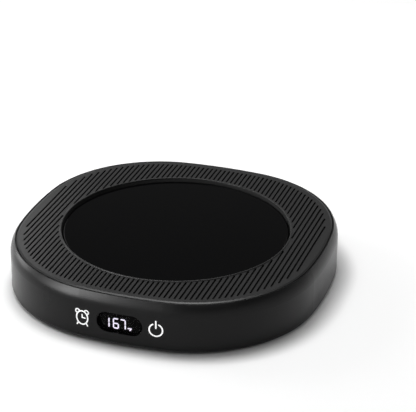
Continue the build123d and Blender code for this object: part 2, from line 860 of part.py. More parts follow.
# ---------------------------------------------------------------- heater stack, from the glass down
with BuildPart() as heat_spreader:
    with Locations((0, 0, spreader_bottom)):
        Cylinder(spreader_radius, spreader_thickness, align=ABOVE)

with BuildPart() as heating_element:
    with BuildSketch(Plane.XY.offset(element_bottom)):
        Circle(element_radius)
        Circle(centre_hole_radius, mode=Mode.SUBTRACT)
        with Locations((0, -fuse_link_offset)):
            Rectangle(link_slot_length, link_slot_width, mode=Mode.SUBTRACT)
    extrude(amount=element_thickness)

with BuildPart() as insulation_pad:
    with BuildSketch(Plane.XY.offset(insulation_bottom)):
        Circle(spreader_radius)
        Circle(centre_hole_radius, mode=Mode.SUBTRACT)
        with Locations((0, -fuse_link_offset)):
            Rectangle(fuse_link_length + 4 * link_lead_run, link_slot_width, mode=Mode.SUBTRACT)
        with Locations(*heater_lead_places):
            Circle(heater_lead_radius + lead_hole_clearance, mode=Mode.SUBTRACT)
    extrude(amount=insulation_thickness)

with BuildPart() as heat_shield:
    with BuildSketch(Plane.XY.offset(shield_bottom)):
        Circle(shield_radius)
        Circle(actuator_peg_radius + hole_clearance, mode=Mode.SUBTRACT)
        with Locations(*on_circle(guide_circle, guide_turns, 0)):
            Circle(guide_pin_radius + hole_clearance, mode=Mode.SUBTRACT)
        with Locations(*on_circle(guide_circle, shield_screw_turns, 0)):
            Circle(shield_screw_radius + hole_clearance, mode=Mode.SUBTRACT)
        with Locations((0, -fuse_link_offset)):
            Rectangle(link_slot_length, link_slot_width, mode=Mode.SUBTRACT)
        with Locations(*heater_lead_places):
            Circle(heater_lead_radius + lead_hole_clearance, mode=Mode.SUBTRACT)
        with Locations(*pair(sensor_lead_offset, sensor_offset, 0)):
            Circle(sensor_lead_radius + lead_hole_clearance, mode=Mode.SUBTRACT)
    extrude(amount=shield_thickness)

shield_screw = cross_screw(
    shield_screw_head, shield_screw_head_height, shield_screw_radius, shield_screw_length
)
with BuildPart() as shield_screws:
    with Locations(*on_circle(guide_circle, shield_screw_turns, shield_bottom)):
        add(shield_screw)

with BuildPart() as thermistor:
    with BuildSketch(Plane.XY.offset(spreader_bottom - sensor_height)):
        with Locations((0, sensor_offset)):
            RectangleRounded(sensor_length, sensor_width, sensor_round)
    extrude(amount=sensor_height)

link_lead = wire(
    [
        (fuse_link_length / 2, -fuse_link_offset, link_axis),
        (fuse_link_length / 2 + link_lead_run, -fuse_link_offset, link_axis),
        (fuse_link_length / 2 + link_lead_run, -fuse_link_offset, element_bottom),
    ],
    link_lead_radius,
)
with BuildPart() as thermal_fuse:
    with Locations((0, -fuse_link_offset, link_axis)):
        Cylinder(fuse_link_radius, fuse_link_length, rotation=(0, 90, 0))
    add(link_lead)
    mirror(about=Plane.YZ)

with BuildPart() as sensor_clip:
    with BuildSketch(Plane.YZ.offset(-clip_width / 2)):
        with BuildLine():
            Polyline(
                (-fuse_link_offset - clip_reach - clip_foot, shield_bottom - clip_thickness / 2),
                (-fuse_link_offset - clip_reach, shield_bottom - clip_thickness / 2),
                (-fuse_link_offset - clip_reach, clip_middle),
                (-fuse_link_offset + clip_reach, clip_middle),
                (-fuse_link_offset + clip_reach, shield_bottom - clip_thickness / 2),
                (-fuse_link_offset + clip_reach + clip_foot, shield_bottom - clip_thickness / 2),
            )
        trace(line_width=clip_thickness)
    extrude(amount=clip_width)

# ---------------------------------------------------------------- guides and springs
guide_screw = cross_screw(guide_head_radius, guide_head_height, guide_shank_radius, guide_shank_length)
with BuildPart() as guide_screws:
    with Locations(*on_circle(guide_circle, guide_turns, guide_pin_end)):
        add(guide_screw)

plate_spring = coil(
    spring_mean_radius, spring_wire, shield_bottom - floor_top - 2 * seat_clearance, spring_turns
)
with BuildPart() as plate_springs:
    with Locations(*on_circle(guide_circle, guide_turns, floor_top + seat_clearance)):
        add(plate_spring)

# ---------------------------------------------------------------- weight switch
with BuildPart() as micro_switch:
    with Locations((0, 0, floor_top)):
        Box(switch_length, switch_width, switch_height, align=ABOVE)
    fillet(micro_switch.edges().filter_by(Axis.Z), radius=switch_round)
    with Locations((0, 0, switch_top)):
        Box(
            plunger_length + 2 * plunger_clearance,
            plunger_width + 2 * plunger_clearance,
            plunger_depth + plate_travel + plunger_room,
            align=BELOW,
            mode=Mode.SUBTRACT,
        )
    with Locations(*pair(terminal_offset, switch_width / 2, floor_top + terminal_height)):
        Box(terminal_width, terminal_length, terminal_thickness, align=BEHIND)

with BuildPart() as switch_plunger:
    with Locations((0, 0, plunger_top)):
        Box(plunger_length, plunger_width, plunger_rise + plunger_depth, align=BELOW)
    fillet(switch_plunger.faces().sort_by(Axis.Z)[-1].edges(), radius=plunger_round)

with BuildPart() as switch_actuator:
    with Locations((0, 0, shield_bottom)):
        Cylinder(actuator_radius, shield_bottom - plunger_top - actuator_gap, align=BELOW)
        Cylinder(actuator_peg_radius, shield_thickness, align=ABOVE)
    with Locations((0, 0, insulation_bottom)):
        Cylinder(actuator_head_radius, actuator_head_height, align=ABOVE)
    fillet(switch_actuator.faces().sort_by(Axis.Z)[-1].edges(), radius=actuator_head_height / 2)

# ---------------------------------------------------------------- control board and display
with BuildPart() as control_board:
    with BuildSketch(Plane.XY.offset(control_board_bottom)):
        with Locations((0, -control_board_middle)):
            Rectangle(control_board_length, control_board_thickness)
    extrude(amount=control_board_height)

with BuildPart() as display_module:
    with BuildSketch(front_plane(0, control_board_face)):
        RectangleRounded(module_length, module_height, module_round)
    extrude(amount=module_shoulder - control_board_face)
    with BuildSketch(front_plane(0, control_board_face)):
        SlotOverall(
            window_length - 2 * (window_step + module_face_inset),
            window_height - 2 * (window_step + module_face_inset),
        )
    extrude(amount=module_face - control_board_face)

with BuildPart() as display_digits:
    with BuildSketch(front_plane(0, module_face)):
        with Locations((0, -digit_drop)):
            draw_segments("bc", first_digit, digit_stroke)
            draw_segments("acdefg", first_digit + digit_pitch, digit_width)
            draw_segments("abc", first_digit + 2 * digit_pitch, digit_width)
            draw_unit_mark()
    extrude(amount=digit_relief)

with BuildPart() as controller_chip:
    with BuildSketch(front_plane(0, control_board_rear)):
        RectangleRounded(chip_size, chip_size, chip_round)
    extrude(amount=-chip_height)

touch_spring = coil(
    touch_spring_radius, touch_spring_wire, touch_spring_reach - touch_spring_foot, touch_spring_turns
)
with BuildPart() as touch_springs:
    with Locations(front_plane(-icon_offset, touch_spring_foot), front_plane(icon_offset, touch_spring_foot)):
        add(touch_spring)

# ---------------------------------------------------------------- power board and its components
with BuildPart() as power_board:
    with BuildSketch(Plane.XY.offset(board_bottom)):
        with Locations((0, power_board_middle)):
            RectangleRounded(power_board_length, power_board_width, board_round)
        with Locations(*board_screw_places(0)):
            Circle(board_screw_radius + hole_clearance, mode=Mode.SUBTRACT)
    extrude(amount=board_thickness)

board_screw = cross_screw(board_screw_head, board_screw_head_height, board_screw_radius, board_screw_length)
with BuildPart() as board_screws:
    for place in board_screw_places(board_top):
        with Locations(Location(place, (180, 0, 0))):
            add(board_screw)

terminal_block_rear = terminal_block_place[1] + terminal_block_width / 2
with BuildPart() as terminal_block:
    with BuildSketch(Plane.XY.offset(board_top)):
        with Locations(terminal_block_place):
            Rectangle(terminal_block_length, terminal_block_width)
    extrude(amount=terminal_block_height)
    for side in (-1, 1):
        middle = terminal_block_place[0] + side * terminal_block_length / 4
        with Locations((middle, terminal_block_place[1], board_top + terminal_block_height)):
            Cylinder(terminal_screw_radius, terminal_screw_depth, align=BELOW, mode=Mode.SUBTRACT)
        with Locations((middle, terminal_block_rear, board_top + terminal_block_height / 3)):
            Box(terminal_mouth, 2 * terminal_mouth_depth, terminal_mouth, mode=Mode.SUBTRACT)

with BuildPart() as mains_fuse:
    with Locations((fuse_place[0], fuse_place[1], fuse_axis)):
        Cylinder(fuse_radius - fuse_cap_skin, fuse_length, rotation=(0, 90, 0))
        with GridLocations(fuse_length - fuse_cap_length, 0, 2, 1):
            Cylinder(fuse_radius, fuse_cap_length, rotation=(0, 90, 0))

with BuildPart() as fuse_clips:
    for side in (-1, 1):
        clip_x = fuse_place[0] + side * (fuse_length - fuse_cap_length) / 2 - fuse_cap_length / 2
        with BuildSketch(Plane.YZ.offset(clip_x)):
            with Locations((fuse_place[1], fuse_axis)):
                Circle(fuse_radius + fuse_clip_wall)
            with Locations((fuse_place[1], board_top)):
                Rectangle(2 * fuse_radius, fuse_axis - board_top, align=(Align.CENTER, Align.MIN))
            with Locations((fuse_place[1], fuse_axis)):
                Circle(fuse_radius + screw_clearance, mode=Mode.SUBTRACT)
            with Locations((fuse_place[1], fuse_axis + fuse_radius / 2)):
                Rectangle(
                    4 * fuse_radius, 2 * fuse_radius, align=(Align.CENTER, Align.MIN), mode=Mode.SUBTRACT
                )
        extrude(amount=fuse_cap_length)

with BuildPart() as x_capacitor:
    with Locations((x_capacitor_place[0], x_capacitor_place[1], board_top)):
        Box(x_capacitor_length, x_capacitor_width, x_capacitor_height, align=ABOVE)
    fillet(x_capacitor.faces().sort_by(Axis.Z)[-1].edges(), radius=component_round)

with BuildPart() as triac:
    with Locations((triac_place[0], triac_place[1], board_top)):
        Box(triac_width, triac_body_length, triac_body_height, align=(Align.CENTER, Align.MAX, Align.MIN))
        Box(triac_width, triac_tab_length, triac_tab_height, align=(Align.CENTER, Align.MIN, Align.MIN))
    with Locations((triac_place[0], triac_place[1] + triac_tab_length / 2, board_top)):
        Cylinder(triac_hole_radius, triac_body_height, align=ABOVE, mode=Mode.SUBTRACT)

with BuildPart() as smoothing_capacitor:
    with Locations((can_place[0], can_place[1], board_top + can_radius)):
        Cylinder(can_radius, can_length, rotation=(0, 90, 0))
    fillet(smoothing_capacitor.edges(), radius=component_round)

with BuildPart() as varistor:
    with Locations((varistor_place[0], varistor_place[1], board_top)):
        Cylinder(varistor_radius, varistor_height, align=ABOVE)
    fillet(varistor.faces().sort_by(Axis.Z)[-1].edges(), radius=component_round)

with BuildPart() as ribbon_header:
    with Locations((ribbon_offset, header_y, board_top)):
        Box(header_length, header_width, header_height, align=(Align.CENTER, Align.MIN, Align.MIN))

# ---------------------------------------------------------------- leads inside the housing
with BuildPart() as ribbon_cable:
    with BuildSketch(Plane.YZ.offset(ribbon_offset - ribbon_width / 2)):
        with BuildLine():
            FilletPolyline(
                (-control_board_rear, ribbon_high),
                (2 * ribbon_bend - control_board_rear, ribbon_high),
                (2 * ribbon_bend - control_board_rear, ribbon_low),
                (header_y - 2 * ribbon_bend, ribbon_low),
                (header_y - 2 * ribbon_bend, header_mouth),
                (header_y, header_mouth),
                radius=ribbon_bend,
            )
        trace(line_width=ribbon_thickness)
    extrude(amount=ribbon_width)

heater_lead = wire(
    [
        (0, 0, 0),
        (0, 0, heater_lead_low),
        (heater_lead_bow, 0, heater_lead_low),
        (heater_lead_bow, 0, heater_lead_high),
        (0, 0, heater_lead_high),
        (0, 0, element_bottom - board_top),
    ],
    heater_lead_radius,
)
with BuildPart() as heater_leads:
    with Locations(*heater_lead_places):
        add(heater_lead)

sensor_lead_run = sensor_lead_row - sensor_offset
sensor_lead = wire(
    [
        (0, 0, 0),
        (0, 0, sensor_lead_rise),
        (0, -sensor_lead_run, sensor_lead_rise),
        (0, -sensor_lead_run, spreader_bottom - sensor_height - board_top),
    ],
    sensor_lead_radius,
)
with BuildPart() as sensor_leads:
    with Locations(*pair(sensor_lead_offset, sensor_lead_row, board_top)):
        add(sensor_lead)

switch_lead = wire(
    [
        (0, switch_lead_row, board_top),
        (0, switch_lead_row, board_top + switch_lead_rise),
        (0, switch_lead_drop, board_top + switch_lead_rise),
        (0, switch_lead_drop, floor_top + terminal_height),
        (0, terminal_end, floor_top + terminal_height),
    ],
    switch_lead_radius,
)
with BuildPart() as switch_leads:
    with Locations(*pair(terminal_offset, 0, 0)):
        add(switch_lead)

# ---------------------------------------------------------------- one STEP file for each piece
pieces = {
    "body_shell": body_shell,
    "top_deck": top_deck,
    "base_plate": base_plate,
    "feet": feet,
    "housing_screws": housing_screws,
    "cord_gland": cord_gland,
    "display_window": display_window,
    "display_digits": display_digits,
    "display_module": display_module,
    "timer_icon": timer_icon,
    "power_icon": power_icon,
    "touch_springs": touch_springs,
    "control_board": control_board,
    "controller_chip": controller_chip,
    "ribbon_cable": ribbon_cable,
    "ribbon_header": ribbon_header,
    "power_board": power_board,
    "board_screws": board_screws,
    "terminal_block": terminal_block,
    "mains_fuse": mains_fuse,
    "fuse_clips": fuse_clips,
    "triac": triac,
    "x_capacitor": x_capacitor,
    "smoothing_capacitor": smoothing_capacitor,
    "varistor": varistor,
    "micro_switch": micro_switch,
    "switch_plunger": switch_plunger,
    "switch_leads": switch_leads,
    "switch_actuator": switch_actuator,
    "warming_plate": warming_plate,
    "plate_gasket": plate_gasket,
    "plate_carrier": plate_carrier,
    "heat_spreader": heat_spreader,
    "heating_element": heating_element,
    "insulation_pad": insulation_pad,
    "heat_shield": heat_shield,
    "shield_screws": shield_screws,
    "thermistor": thermistor,
    "thermal_fuse": thermal_fuse,
    "sensor_clip": sensor_clip,
    "guide_screws": guide_screws,
    "plate_springs": plate_springs,
    "heater_leads": heater_leads,
    "sensor_leads": sensor_leads,
}
os.makedirs("parts", exist_ok=True)
for name, piece in pieces.items():
    piece.part.label = name
    export_step(piece.part, f"parts/{name}.step")
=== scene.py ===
import math

import bmesh
import bpy
import numpy as np
from mathutils import Matrix, Vector


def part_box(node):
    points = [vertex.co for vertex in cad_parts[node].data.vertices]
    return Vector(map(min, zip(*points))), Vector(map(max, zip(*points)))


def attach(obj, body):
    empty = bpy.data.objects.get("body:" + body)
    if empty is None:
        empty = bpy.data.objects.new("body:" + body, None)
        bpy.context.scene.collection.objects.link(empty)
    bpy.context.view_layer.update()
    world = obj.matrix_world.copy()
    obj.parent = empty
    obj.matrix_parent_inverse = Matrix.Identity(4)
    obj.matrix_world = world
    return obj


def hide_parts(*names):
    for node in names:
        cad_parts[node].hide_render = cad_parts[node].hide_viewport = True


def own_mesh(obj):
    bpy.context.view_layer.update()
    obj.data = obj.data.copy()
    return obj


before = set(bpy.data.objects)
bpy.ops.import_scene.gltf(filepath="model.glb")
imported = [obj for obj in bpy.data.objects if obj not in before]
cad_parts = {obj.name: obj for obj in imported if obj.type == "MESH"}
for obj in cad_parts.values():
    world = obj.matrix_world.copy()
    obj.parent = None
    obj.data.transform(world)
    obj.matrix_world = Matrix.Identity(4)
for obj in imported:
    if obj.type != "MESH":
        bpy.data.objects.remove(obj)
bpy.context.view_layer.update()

# ---------------------------------------------------------------- camera
# A long lens looks down on the warmer's front left corner, with the panel turned
# a little to the right. The aim is the middle of the base's lower edge.
frame_size = (416, 412)
focal_length = 1726.7
sensor_width = 36.0
view_azimuth = math.radians(18.44)
view_elevation = math.radians(25.90)
view_roll = math.radians(0.60)
view_distance = 0.7223
base_edge_height = 0.001
base_middle_seen_at = (175.96, 270.48)

to_camera = Vector(
    (
        math.sin(view_azimuth) * math.cos(view_elevation),
        -math.cos(view_azimuth) * math.cos(view_elevation),
        math.sin(view_elevation),
    )
)
level_right = Vector((math.cos(view_azimuth), math.sin(view_azimuth), 0))
level_up = to_camera.cross(level_right)
camera_right = math.cos(view_roll) * level_right + math.sin(view_roll) * level_up
camera_up = math.cos(view_roll) * level_up - math.sin(view_roll) * level_right
metres_per_pixel = view_distance / focal_length
aim = (
    Vector((0, 0, base_edge_height))
    - (base_middle_seen_at[0] - frame_size[0] / 2) * metres_per_pixel * camera_right
    + (base_middle_seen_at[1] - frame_size[1] / 2) * metres_per_pixel * camera_up
)
camera = bpy.data.objects.new("camera", bpy.data.cameras.new("camera"))
camera.data.sensor_width = sensor_width
camera.data.lens = focal_length * sensor_width / frame_size[0]
camera.matrix_world = Matrix.Translation(aim + view_distance * to_camera) @ (
    Matrix((camera_right, camera_up, to_camera)).transposed().to_4x4()
)
bpy.context.scene.collection.objects.link(camera)
bpy.context.scene.camera = camera
bpy.context.scene.view_settings.view_transform = "Standard"

# ---------------------------------------------------------------- floor
# A round floor in matt white paint, which keeps the warmer's shadow and is plain white far
# out. It has a hole under the warmer, and from below it isn't there, so the underside shows.
floor_radius = 3.0
floor_sides = 96
floor_colour = (0.80, 0.80, 0.80, 1)
outline_power = 2.45
hole_reach = 0.060
edge_reach = 0.065
lift_width = 0.008
lift_middle = (0.0035, 0, 0)
floor_lift = 0.23
fade_starts = 0.16
fade_ends = 0.50

# the hole is a superellipse: its radius at an angle is the reach over the power's root of
# the sum of the cosine and the sine, each to that power
angles = np.linspace(0, 2 * math.pi, floor_sides, endpoint=False)
directions = np.stack((np.cos(angles), np.sin(angles), 0 * angles), axis=1)
hole_radii = hole_reach / (np.abs(directions) ** outline_power).sum(axis=1) ** (1 / outline_power)
corners = np.concatenate((directions * hole_radii[:, None], directions * floor_radius))
first = np.arange(floor_sides)
following = (first + 1) % floor_sides
sectors = np.stack((first, first + floor_sides, following + floor_sides, following), axis=1)
floor_mesh = bpy.data.meshes.new("floor")
floor_mesh.from_pydata(corners.tolist(), [], sectors.tolist())
floor = bpy.data.objects.new("floor", floor_mesh)
bpy.context.scene.collection.objects.link(floor)


def feed(links, value, socket):
    """Links another node's result to a socket, or writes a plain value into it."""
    if isinstance(value, bpy.types.NodeSocket):
        links.new(value, socket)
    else:
        socket.default_value = value


def worked_out(nodes, links, operation, *values):
    """The result of a math operation on one or two values, each a socket or a number."""
    node = nodes.new("ShaderNodeMath")
    node.operation = operation
    for value, socket in zip(values, node.inputs):
        feed(links, value, socket)
    return node.outputs[0]


def mapped(nodes, links, field, from_low, from_high, to_low=0.0, to_high=1.0, smooth=False):
    """A field with its stretch between two values laid over two others, and held beyond them."""
    ranged = nodes.new("ShaderNodeMapRange")
    ranged.interpolation_type = "SMOOTHSTEP" if smooth else "LINEAR"
    ranged.inputs["From Min"].default_value = from_low
    ranged.inputs["From Max"].default_value = from_high
    ranged.inputs["To Min"].default_value = to_low
    ranged.inputs["To Max"].default_value = to_high
    links.new(field, ranged.inputs["Value"])
    return ranged.outputs["Result"]


def shader_between(nodes, links, factor, first_shader, second_shader):
    """A shader that runs from the first at a factor of 0 to the second at 1."""
    mix = nodes.new("ShaderNodeMixShader")
    links.new(factor, mix.inputs[0])
    links.new(first_shader, mix.inputs[1])
    links.new(second_shader, mix.inputs[2])
    return mix.outputs[0]


def seen_directly(nodes, links):
    """A factor that is 1 for rays from the camera, from a shine or through glass, and 0 otherwise."""
    rays = nodes.new("ShaderNodeLightPath").outputs
    seen_or_shone = worked_out(nodes, links, "MAXIMUM", rays["Is Camera Ray"], rays["Is Glossy Ray"])
    return worked_out(nodes, links, "MAXIMUM", seen_or_shone, rays["Is Transmission Ray"])


floor_paint = bpy.data.materials.new("floor_paint")
floor_paint.use_nodes = True
nodes, links = floor_paint.node_tree.nodes, floor_paint.node_tree.links
nodes.clear()
directly = seen_directly(nodes, links)
floor_place = nodes.new("ShaderNodeTexCoord").outputs["Object"]

# for direct rays the paint has a little light of its own, the lift, which grows over a few
# millimetres from the warmer's outline, a superellipse like the hole
from_lift_middle = nodes.new("ShaderNodeVectorMath")
from_lift_middle.operation = "SUBTRACT"
from_lift_middle.inputs[1].default_value = lift_middle
links.new(floor_place, from_lift_middle.inputs[0])
halves = nodes.new("ShaderNodeVectorMath")
halves.operation = "ABSOLUTE"
links.new(from_lift_middle.outputs[0], halves.inputs[0])
axes = nodes.new("ShaderNodeSeparateXYZ")
links.new(halves.outputs[0], axes.inputs[0])
across_power = worked_out(nodes, links, "POWER", axes.outputs["X"], outline_power)
along_power = worked_out(nodes, links, "POWER", axes.outputs["Y"], outline_power)
power_sum = worked_out(nodes, links, "ADD", across_power, along_power)
outward = worked_out(nodes, links, "POWER", power_sum, 1 / outline_power)
lift_ends = edge_reach + lift_width
lift = mapped(nodes, links, outward, edge_reach, lift_ends, to_high=floor_lift, smooth=True)
floor_glow = nodes.new("ShaderNodeEmission")
links.new(worked_out(nodes, links, "MULTIPLY", directly, lift), floor_glow.inputs["Strength"])
floor_diffuse = nodes.new("ShaderNodeBsdfDiffuse")
floor_diffuse.inputs["Color"].default_value = floor_colour
near_floor = nodes.new("ShaderNodeAddShader")
links.new(floor_diffuse.outputs[0], near_floor.inputs[0])
links.new(floor_glow.outputs[0], near_floor.inputs[1])

# far out, direct rays meet plain white
from_middle = nodes.new("ShaderNodeVectorMath")
from_middle.operation = "LENGTH"
links.new(floor_place, from_middle.inputs[0])
fade = mapped(nodes, links, from_middle.outputs["Value"], fade_starts, fade_ends, smooth=True)
seen_fade = worked_out(nodes, links, "MULTIPLY", fade, directly)
plain_white = nodes.new("ShaderNodeEmission").outputs[0]
whitened = shader_between(nodes, links, seen_fade, near_floor.outputs[0], plain_white)
from_below = nodes.new("ShaderNodeNewGeometry").outputs["Backfacing"]
nothing = nodes.new("ShaderNodeBsdfTransparent").outputs[0]
one_sided = shader_between(nodes, links, from_below, whitened, nothing)
links.new(one_sided, nodes.new("ShaderNodeOutputMaterial").inputs["Surface"])
floor_mesh.materials.append(floor_paint)

# ---------------------------------------------------------------- sky
# The room around is white where the camera sees it. In a shine or through glass it is
# white at the horizon and darker overhead, and it lights the warmer a little from all sides.
sky_light = 0.28
horizon_shine = 1.0
zenith_shine = 0.25
darkening_starts = 0.05
darkening_ends = 0.50
seen_white = 1.0


def value_between(nodes, links, factor, first_value, second_value):
    """A value that runs from the first at a factor of 0 to the second at 1."""
    mix = nodes.new("ShaderNodeMix")
    links.new(factor, mix.inputs[0])
    feed(links, first_value, mix.inputs[2])
    feed(links, second_value, mix.inputs[3])
    return mix.outputs[0]


sky = bpy.data.worlds.new("sky")
sky.use_nodes = True
nodes, links = sky.node_tree.nodes, sky.node_tree.links
nodes.clear()
sky_direction = nodes.new("ShaderNodeSeparateXYZ")
links.new(nodes.new("ShaderNodeTexCoord").outputs["Generated"], sky_direction.inputs[0])
sky_shade = mapped(
    nodes,
    links,
    sky_direction.outputs["Z"],
    darkening_starts,
    darkening_ends,
    to_low=horizon_shine,
    to_high=zenith_shine,
    smooth=True,
)
lit_or_shone = value_between(nodes, links, seen_directly(nodes, links), sky_light, sky_shade)
is_camera_ray = nodes.new("ShaderNodeLightPath").outputs["Is Camera Ray"]
sky_strength = value_between(nodes, links, is_camera_ray, lit_or_shone, seen_white)
sky_background = nodes.new("ShaderNodeBackground")
links.new(sky_strength, sky_background.inputs["Strength"])
links.new(sky_background.outputs[0], nodes.new("ShaderNodeOutputWorld").inputs["Surface"])
bpy.context.scene.world = sky

# ---------------------------------------------------------------- lamps
# A bank of tall boxes at the front left, which only shows as the shine along the shoulder.
# The box overhead gives most of the light, the front one some more, and the two at the
# left lift that side's wall, shoulder and deck.


def soft_box(name, place, aimed_at, size, power):
    """A rectangular area lamp of the given size that faces one point."""
    lamp = bpy.data.lights.new(name, "AREA")
    lamp.shape = "RECTANGLE"
    lamp.size, lamp.size_y = size
    lamp.energy = power
    lamp_object = bpy.data.objects.new(name, lamp)
    lamp_object.location = place
    facing = Vector(aimed_at) - Vector(place)
    lamp_object.rotation_euler = facing.to_track_quat("-Z", "Y").to_euler()
    bpy.context.scene.collection.objects.link(lamp_object)
    return lamp_object


# the bank stands in an arc round the warmer's front left corner, and its boxes are
# brightest at one bearing and fall off on both sides of it, more slowly to the left
bank_distance = 0.80
bank_height = 0.29
bank_aim = (0, 0, 0.01)
bank_size = (0.10, 0.56)
bank_count = 12
bank_start = -171.0
bank_step = 7.0
bank_brightest = -127.0
bank_fall_left = 18.5
bank_fall_right = 10.5
bank_peak = 2.95
bank_rest = 0.20
for step in range(bank_count):
    bearing = bank_start + bank_step * step
    fall = bank_fall_left if bearing < bank_brightest else bank_fall_right
    power = bank_rest + bank_peak * math.exp(-(((bearing - bank_brightest) / fall) ** 2))
    turn = math.radians(bearing)
    place = (bank_distance * math.cos(turn), bank_distance * math.sin(turn), bank_height)
    bank_box = soft_box(f"bank_box_{step + 1}", place, bank_aim, bank_size, power)
    bank_box.visible_diffuse = False
soft_box("overhead_box", (-0.12, 0.14, 0.95), aimed_at=(0, 0, 0), size=(0.60, 0.44), power=7.0)
soft_box("front_box", (0.45, -0.70, 0.85), aimed_at=(0, 0, 0), size=(0.90, 0.60), power=1.0)
soft_box("left_box", (-0.60, 0.08, 0.20), aimed_at=(-0.05, 0, 0.02), size=(0.26, 0.42), power=1.8)
soft_box("rear_left_box", (-0.24, 0.26, 0.17), aimed_at=(-0.05, 0, 0.02), size=(0.10, 0.10), power=0.08)

# ---------------------------------------------------------------- base plate
# The bottom cover, moulded in black plastic with a fine spark-eroded grain. It is
# screwed up into the deck's posts and carries the switch, the boards and the springs.
field_low = 0.3
field_high = 0.7


def dress(node, finish):
    """Gives every material slot of one piece the same finish."""
    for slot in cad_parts[node].material_slots:
        slot.material = finish


def start_finish(name, colour, roughness, **values):
    """A new material with one Principled shader. An underscore in a socket's name stands for a blank."""
    finish = bpy.data.materials.new(name)
    finish.use_nodes = True
    nodes = finish.node_tree.nodes
    shader = nodes["Principled BSDF"]
    shader.inputs["Base Color"].default_value = (*colour, 1)
    shader.inputs["Roughness"].default_value = roughness
    for socket, value in values.items():
        shader.inputs[socket.replace("_", " ")].default_value = value
    return finish, nodes, finish.node_tree.links, shader


def noise_field(nodes, links, scale, detail, stretch=(1, 1, 1)):
    """A noise over the piece's own coordinates in metres, stretched along an axis if asked."""
    place = nodes.new("ShaderNodeTexCoord")
    mapping = nodes.new("ShaderNodeMapping")
    mapping.inputs["Scale"].default_value = stretch
    links.new(place.outputs["Object"], mapping.inputs["Vector"])
    noise = nodes.new("ShaderNodeTexNoise")
    noise.inputs["Scale"].default_value = scale
    noise.inputs["Detail"].default_value = detail
    links.new(mapping.outputs[0], noise.inputs["Vector"])
    return noise.outputs["Fac"]


def spread(nodes, links, field, low, high):
    """The middle of a noise, where most of it lies, spread over low to high."""
    return mapped(nodes, links, field, field_low, field_high, low, high)


def shaded(colour, share):
    """The same colour, darker with a share below 1 and lighter above it."""
    return [share * part for part in colour]


def tint_between(nodes, links, field, colour_one, colour_two, low=field_low, high=field_high):
    """The colour that runs from one to the other while a field rises from low to high."""
    ramp = nodes.new("ShaderNodeValToRGB")
    ramp.color_ramp.elements[0].position = low
    ramp.color_ramp.elements[0].color = (*colour_one, 1)
    ramp.color_ramp.elements[1].position = high
    ramp.color_ramp.elements[1].color = (*colour_two, 1)
    links.new(field, ramp.inputs["Fac"])
    return ramp.outputs["Color"]


def raise_surface(nodes, links, shader, field, depth):
    """Bumps the surface by a field, with its full height in metres."""
    bump = nodes.new("ShaderNodeBump")
    bump.inputs["Distance"].default_value = depth
    links.new(field, bump.inputs["Height"])
    links.new(bump.outputs["Normal"], shader.inputs["Normal"])


def moulded_plastic(name, colour, roughness, grain=3200.0, depth=0.00002, shine=0.5):
    """Injection-moulded plastic: grain in the surface, and a slow drift of its tone and gloss."""
    finish, nodes, links, shader = start_finish(name, colour, roughness, Specular_IOR_Level=shine)
    drift = noise_field(nodes, links, scale=45.0, detail=3.0)
    tone = tint_between(nodes, links, drift, shaded(colour, 0.86), shaded(colour, 1.12))
    links.new(tone, shader.inputs["Base Color"])
    gloss = spread(nodes, links, drift, low=roughness - 0.03, high=roughness + 0.04)
    links.new(gloss, shader.inputs["Roughness"])
    raise_surface(nodes, links, shader, noise_field(nodes, links, grain, detail=2.0), depth)
    return finish


dress("base_plate", moulded_plastic("base_plastic", (0.010, 0.010, 0.011), 0.55, grain=1800.0, shine=0.3))

# ---------------------------------------------------------------- feet
# Four rubber discs pressed into their seats in the base. They are dull, with a fine
# grain from their mould.
dress("feet", moulded_plastic("foot_rubber", (0.018, 0.018, 0.018), 0.85, grain=2600.0, shine=0.2))

# ---------------------------------------------------------------- screws
# Zinc-plated cross-head screws: the housing's, the power board's, the shield's and the
# three that stop the plate's guide stems. Their drawn wire shows as fine rings.


def plated_metal(name, colour, roughness, grain=900.0, stretch=(1, 1, 6)):
    """Bare or plated metal with fine drawing marks along one axis and a little tarnish."""
    finish, nodes, links, shader = start_finish(name, colour, roughness, Metallic=1.0)
    marks = noise_field(nodes, links, grain, detail=3.0, stretch=stretch)
    tarnish = noise_field(nodes, links, scale=160.0, detail=4.0)
    tone = tint_between(nodes, links, tarnish, shaded(colour, 0.72), colour)
    links.new(tone, shader.inputs["Base Color"])
    polish = spread(nodes, links, marks, low=roughness - 0.08, high=roughness + 0.10)
    links.new(polish, shader.inputs["Roughness"])
    raise_surface(nodes, links, shader, marks, depth=0.00001)
    return finish


screw_steel = plated_metal("screw_steel", (0.62, 0.62, 0.60), 0.32)
for screws in ("housing_screws", "board_screws", "shield_screws", "guide_screws"):
    dress(screws, screw_steel)

# ---------------------------------------------------------------- weight switch
# A small snap switch on the floor under the plate's middle, in black nylon with a red
# plunger, and the two leads from its terminals to the power board.
dress("micro_switch", moulded_plastic("switch_nylon", (0.022, 0.022, 0.024), 0.50, grain=2200.0))
dress("switch_plunger", moulded_plastic("plunger_red", (0.42, 0.020, 0.015), 0.38, grain=2600.0))


def silicone_sleeve(name, colour):
    """The soft insulation of a lead: dull, a little translucent, with extrusion lines."""
    finish, nodes, links, shader = start_finish(name, colour, 0.6, Subsurface_Weight=0.15)
    shader.inputs["Subsurface Radius"].default_value = (0.0005, 0.0004, 0.0003)
    lines = noise_field(nodes, links, scale=1500.0, detail=2.0, stretch=(1, 1, 0.1))
    tone = tint_between(nodes, links, lines, shaded(colour, 0.85), colour)
    links.new(tone, shader.inputs["Base Color"])
    raise_surface(nodes, links, shader, lines, depth=0.00002)
    return finish


dress("switch_leads", silicone_sleeve("lead_grey", (0.42, 0.42, 0.44)))

# ---------------------------------------------------------------- boards
# Two glass-epoxy boards under green solder mask: the power board flat over the rear
# of the floor, and the control board upright behind the panel.


